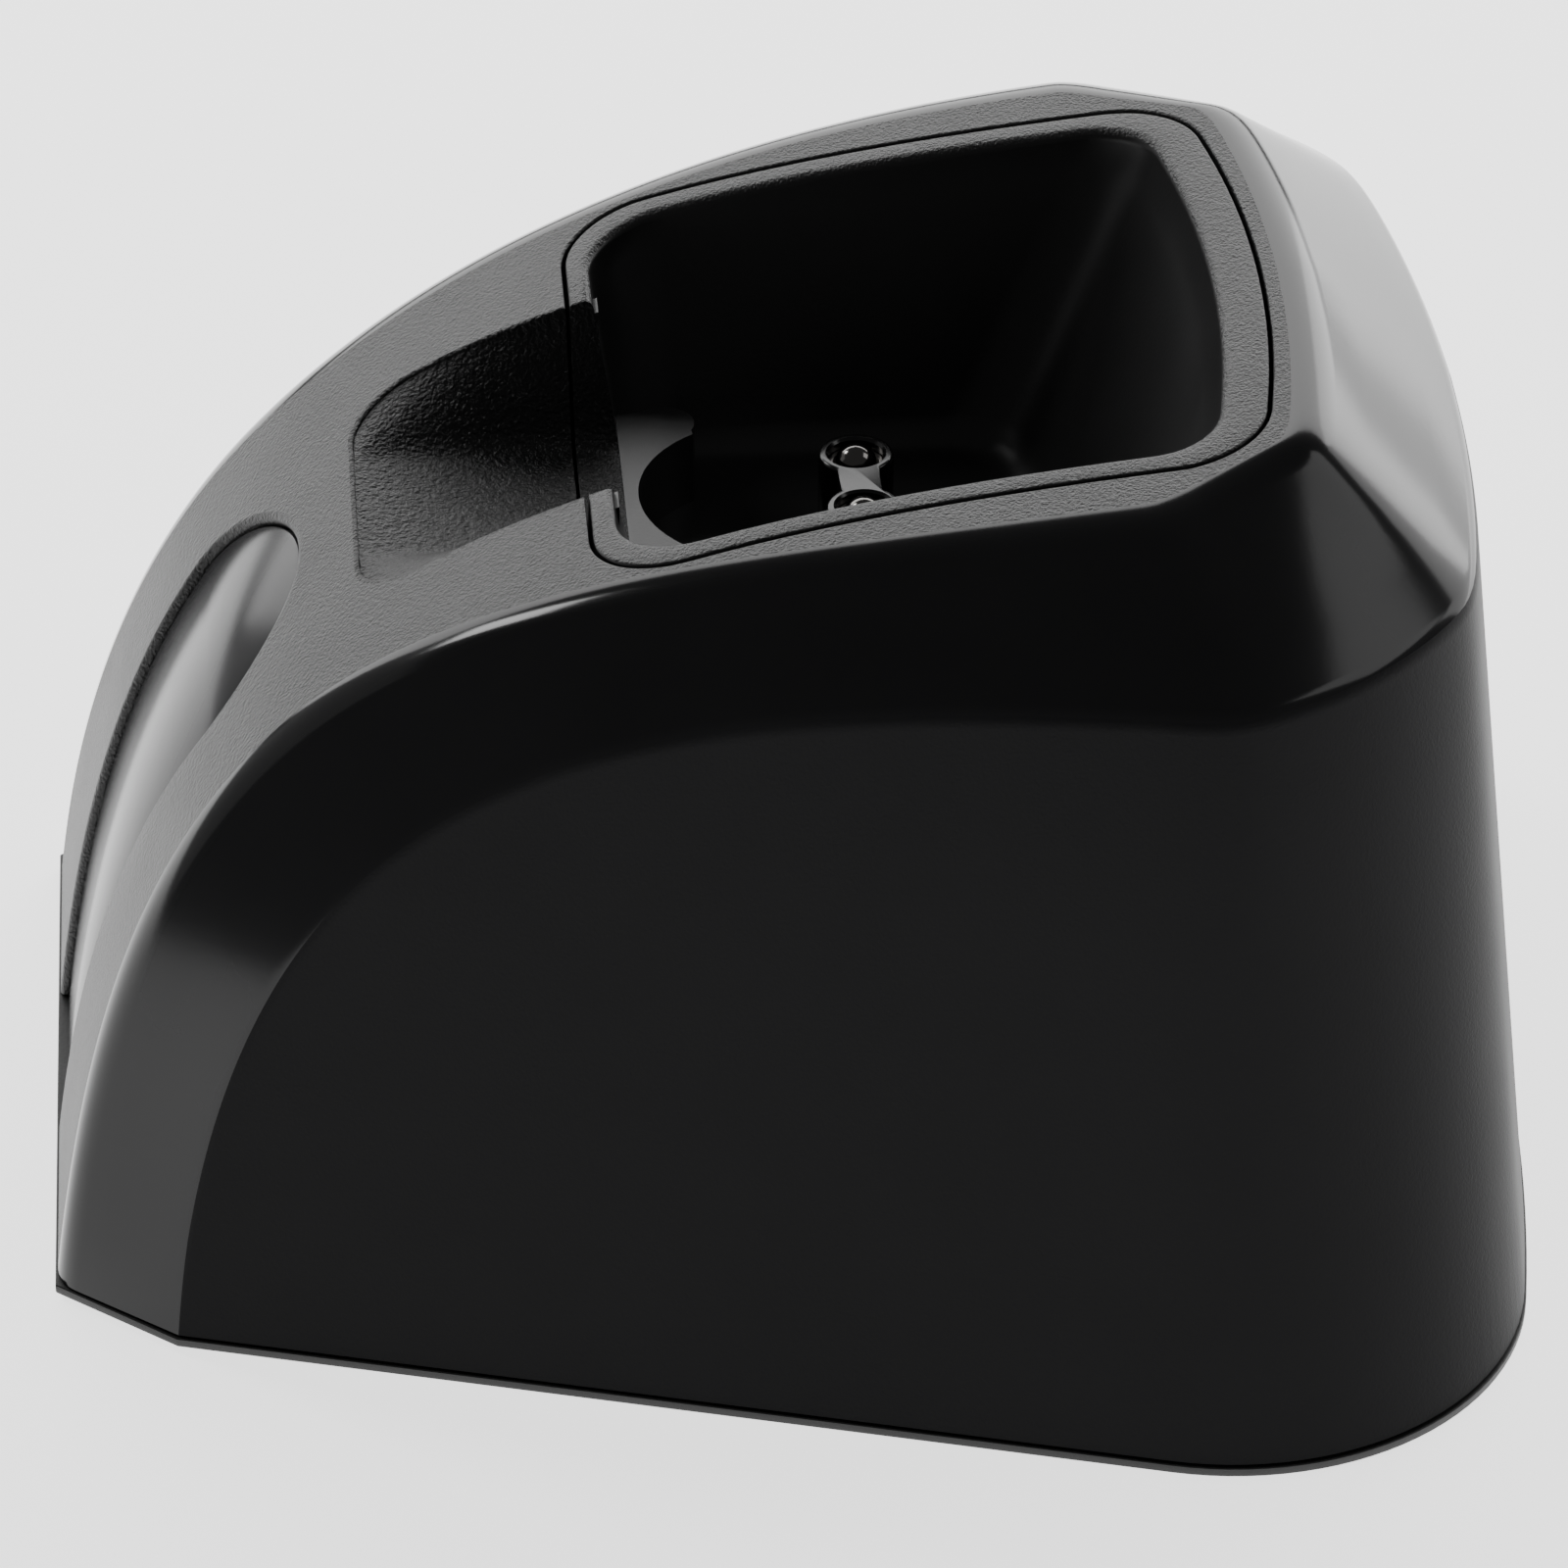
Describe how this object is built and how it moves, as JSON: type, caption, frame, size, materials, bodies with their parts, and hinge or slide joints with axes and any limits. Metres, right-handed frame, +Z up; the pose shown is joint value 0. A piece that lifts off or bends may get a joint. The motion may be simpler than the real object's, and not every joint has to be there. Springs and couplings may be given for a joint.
{
  "type": "charging stand",
  "caption": "Weighted desktop charging stand for a cordless handheld: a black wedge-shaped housing with an arched grained top, a lined well with sprung contacts and a thumb trough in front.",
  "frame": {"origin": "middle of the foot, on the surface that the rubber feet stand on", "axes": "+X across the stand to its right, +Y towards the rear, +Z up"},
  "size_m": [0.1408, 0.139, 0.085],
  "materials": {
    "housing": "satin black moulding, grained on top",
    "liner": "fine matte black",
    "badge": "smooth grey, blank",
    "carrier": "smooth black",
    "contact_metal": "plated",
    "spring_steel": "drawn wire",
    "board": "solder mask",
    "screws": "zinc plated",
    "base": "fine grain",
    "ballast": "raw steel plate",
    "rubber": "soft matte",
    "jack": "moulded",
    "jack_metal": "nickel plated",
    "lead_red": "PVC insulation",
    "lead_black": "PVC insulation"
  },
  "bodies": {
    "stand": {"upper_housing": "housing", "well_liner": "liner", "badge_plate": "badge", "contact_carrier": "carrier", "contact_barrel_left": "contact_metal", "contact_barrel_right": "contact_metal", "contact_spring_left": "spring_steel", "contact_spring_right": "spring_steel", "contact_board": "board", "board_screws": "screws", "liner_screws": "screws", "base_plate": "base", "base_screws": "screws", "ballast_weight": "ballast", "ballast_screws": "screws", "rubber_feet": "rubber", "power_jack": "jack", "jack_pin": "jack_metal", "jack_leaf": "jack_metal", "lead_positive": "lead_red", "lead_negative": "lead_black"},
    "pin_left": {"contact_pin_left": "contact_metal"},
    "pin_right": {"contact_pin_right": "contact_metal"}
  },
  "joints": [
    {"name": "contact_pin_left_press", "type": "slide", "parent": "stand", "child": "pin_left", "axis": [0, 0, -1], "range_m": [0, 0.0015], "stiffness_N_per_m": 200, "springref_m": -0.002, "deforming": ["contact_spring_left"]},
    {"name": "contact_pin_right_press", "type": "slide", "parent": "stand", "child": "pin_right", "axis": [0, 0, -1], "range_m": [0, 0.0015], "stiffness_N_per_m": 200, "springref_m": -0.002, "deforming": ["contact_spring_right"]}
  ]
}
